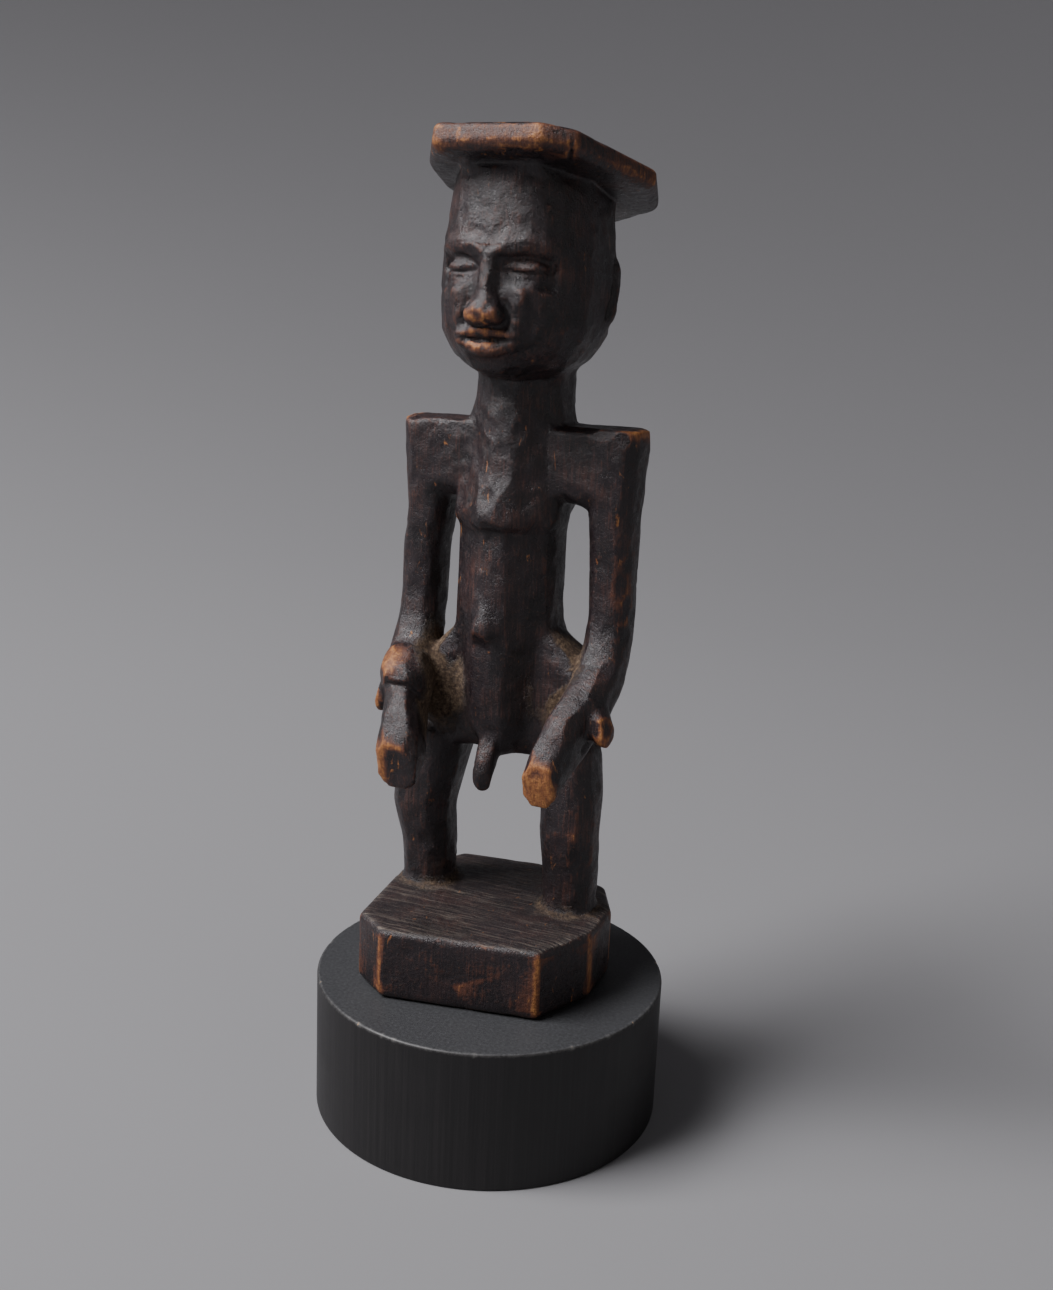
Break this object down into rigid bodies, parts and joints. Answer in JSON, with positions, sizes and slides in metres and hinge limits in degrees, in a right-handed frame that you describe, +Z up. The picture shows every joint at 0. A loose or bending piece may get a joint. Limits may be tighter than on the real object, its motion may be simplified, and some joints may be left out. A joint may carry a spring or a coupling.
{
  "type": "carved ancestor figure",
  "caption": "Standing hand-carved wooden ancestor figure with a flat headdress plate and open hands, screwed to a black turned plinth, for display on a shelf.",
  "frame": {"origin": "centre of the plinth's underside, which is the face that the object stands on", "axes": "+Z up, -Y the way the figure faces, +X the figure's left"},
  "size_m": [0.09, 0.09, 0.2435],
  "materials": {
    "patinated_wood": "dark brown-black satin patina, knife cut, worn to light brown on its edges",
    "stained_wood": "matte black stain over fine upright grain",
    "zinc_steel": "zinc plated"
  },
  "bodies": {
    "root": {"carved_figure": "patinated_wood", "plinth": "stained_wood", "left_screw": "zinc_steel", "right_screw": "zinc_steel", "left_washer": "zinc_steel", "right_washer": "zinc_steel"}
  },
  "joints": []
}
